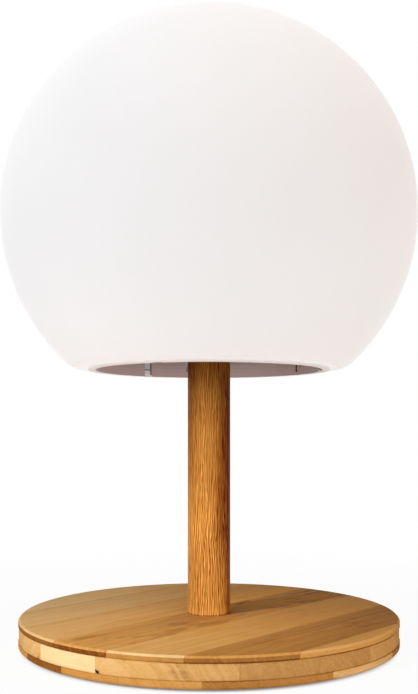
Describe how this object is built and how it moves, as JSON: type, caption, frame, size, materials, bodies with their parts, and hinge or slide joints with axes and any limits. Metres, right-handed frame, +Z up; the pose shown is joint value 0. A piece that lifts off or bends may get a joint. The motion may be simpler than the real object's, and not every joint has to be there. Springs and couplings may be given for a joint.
{
  "type": "cordless table lamp",
  "caption": "Cordless table lamp: flattened white globe shade on a grey bayonet collar and light module, wooden dowel stem and round three-ply wooden base.",
  "frame": {"origin": "on the table under the middle of the base", "axes": "+Z up along the stem, -Y towards the viewer of the picture, +X to the right"},
  "size_m": [0.18, 0.18, 0.2734],
  "materials": {
    "shade_white": "satin translucent moulding",
    "collar_grey": "satin",
    "module_grey": "satin",
    "button_grey": "satin",
    "cover_rubber": "matte",
    "seal_rubber": "matte",
    "pad_rubber": "matte",
    "stem_wood": "oiled, close-grained, with short flecks",
    "base_wood": "oiled staves",
    "steel": "zinc-plated",
    "brass": "turned",
    "nickel": "plated",
    "board_green": "lacquered",
    "board_white": "matte",
    "led_phosphor": "glossy",
    "cell_wrap": "shrink sleeve",
    "holder_black": "matte",
    "switch_black": "matte",
    "clear_plastic": "polished",
    "lead_red": "glossy sleeve"
  },
  "bodies": {
    "shade": {"shade": "shade_white", "shade_collar": "collar_grey"},
    "power_button": {"power_button": "button_grey", "switch_plunger": "switch_black"},
    "port_cover": {"port_cover": "cover_rubber"},
    "stand": {"collar_gasket": "seal_rubber", "module_housing": "module_grey", "module_lid": "module_grey", "lid_screws": "steel", "led_board": "board_white", "led_chips": "led_phosphor", "led_board_screws": "steel", "battery_cell": "cell_wrap", "battery_holder": "holder_black", "battery_contacts": "nickel", "control_board": "board_green", "board_screws": "steel", "tact_switch": "switch_black", "usb_socket": "nickel", "charge_light_pipe": "clear_plastic", "port_cover_anchor": "cover_rubber", "battery_leads": "lead_red", "led_leads": "lead_red", "stem": "stem_wood", "stem_top_insert": "brass", "stem_top_bolt": "steel", "stem_top_washer": "steel", "stem_bottom_insert": "brass", "base_bolt": "steel", "base_washer": "steel", "base_top_ply": "base_wood", "base_core_ply": "base_wood", "base_bottom_ply": "base_wood", "foot_pads": "pad_rubber"}
  },
  "joints": [
    {"name": "shade_twist", "type": "hinge", "parent": "stand", "child": "shade", "pos_m": [0, 0, 0.132], "axis": [0, 0, 1], "range_deg": [0, 18]},
    {"name": "power_button_press", "type": "slide", "parent": "stand", "child": "power_button", "axis": [0, 0, 1], "range_m": [0, 0.0008], "stiffness_N_per_m": 300},
    {"name": "port_cover_swing", "type": "hinge", "parent": "stand", "child": "port_cover", "pos_m": [0.01747, -0.02065, 0.129], "axis": [0, -1, 0], "range_deg": [0, 105]}
  ]
}
